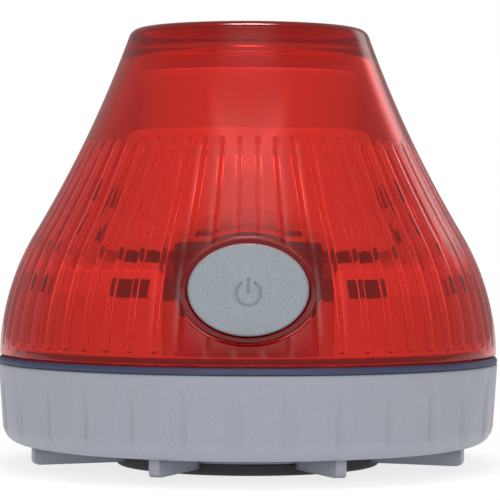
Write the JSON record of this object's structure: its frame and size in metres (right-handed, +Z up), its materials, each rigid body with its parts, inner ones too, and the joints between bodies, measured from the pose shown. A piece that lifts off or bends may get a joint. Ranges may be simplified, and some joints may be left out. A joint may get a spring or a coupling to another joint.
{
  "type": "led safety flare",
  "caption": "Battery warning beacon: clear red ribbed dome with a front push button on a grey twist-off base with a magnet face underneath.",
  "frame": {"origin": "centre of the magnet pad's resting face, on the axis of the dome", "axes": "+Z up along the dome's axis, -Y to the front where the button faces, +X to the viewer's right"},
  "size_m": [0.085, 0.085, 0.0746],
  "materials": {
    "red_lens": "clear red polycarbonate, polished",
    "base_grey": "light grey moulded plastic, fine satin texture",
    "button_grey": "mid grey, speckled matte",
    "navy_rubber": "matte",
    "black_rubber": "matte",
    "seal_rubber": "matte grey-pink silicone",
    "white_plastic": "satin white",
    "milky_plastic": "milky translucent white",
    "chassis_plastic": "off-white moulded plastic",
    "frame_plastic": "dark moulded plastic",
    "carrier_plastic": "dark moulded plastic",
    "steel": "bright zinc plated",
    "brass": "turned brass",
    "nickel": "nickel plated",
    "ferrite": "sintered ferrite, matte",
    "cell_jacket": "printed cell jacket without lettering",
    "board_green": "solder mask",
    "board_white": "white solder mask",
    "led_package": "white package, clear lens",
    "chip_black": "moulded epoxy",
    "wire_jacket": "insulated lead"
  },
  "bodies": {
    "base": {"base_cover": "base_grey", "magnet_cup": "steel", "magnet_disc": "ferrite", "magnet_pad": "black_rubber", "magnet_screws": "steel", "pivot_bush": "brass", "pivot_washer": "steel", "pivot_screw": "steel"},
    "carrier": {"contact_carrier": "carrier_plastic", "carrier_plates": "nickel", "contact_springs": "nickel"},
    "head": {"dome_lens": "red_lens", "dome_seal": "black_rubber", "base_seal": "navy_rubber", "chassis": "chassis_plastic", "battery_tube": "white_plastic", "tube_screws": "steel", "battery_cells": "cell_jacket", "top_contacts": "nickel", "battery_leads": "wire_jacket", "led_board": "board_white", "leds": "led_package", "driver_chips": "chip_black", "led_diffuser": "milky_plastic", "well_liners": "black_rubber", "push_nuts": "steel", "button_seal": "seal_rubber", "button_frame": "frame_plastic", "frame_screws": "steel", "switch_board": "board_green", "board_screws": "steel", "tact_switch": "chip_black", "switch_leads": "wire_jacket"},
    "button": {"button_cap": "button_grey"},
    "plunger": {"switch_plunger": "chip_black"}
  },
  "joints": [
    {"name": "head_turn", "type": "hinge", "parent": "base", "child": "carrier", "pos_m": [0, 0, 0], "axis": [0, 0, 1], "range_deg": [0, 360]},
    {"name": "head_lift", "type": "slide", "parent": "carrier", "child": "head", "axis": [0, 0, 1], "range_m": [0, 0.009], "deforming": ["contact_springs"]},
    {"name": "button_press", "type": "slide", "parent": "head", "child": "button", "axis": [0, 1, 0], "range_m": [0, 0.0008]},
    {"name": "plunger_press", "type": "slide", "parent": "head", "child": "plunger", "axis": [0, 1, 0], "range_m": [0, 0.0008]}
  ],
  "couplings": [
    {"joint": "head_lift", "follows": "head_turn", "m_per_rad": 0.0014324},
    {"joint": "plunger_press", "follows": "button_press", "ratio": 1}
  ]
}
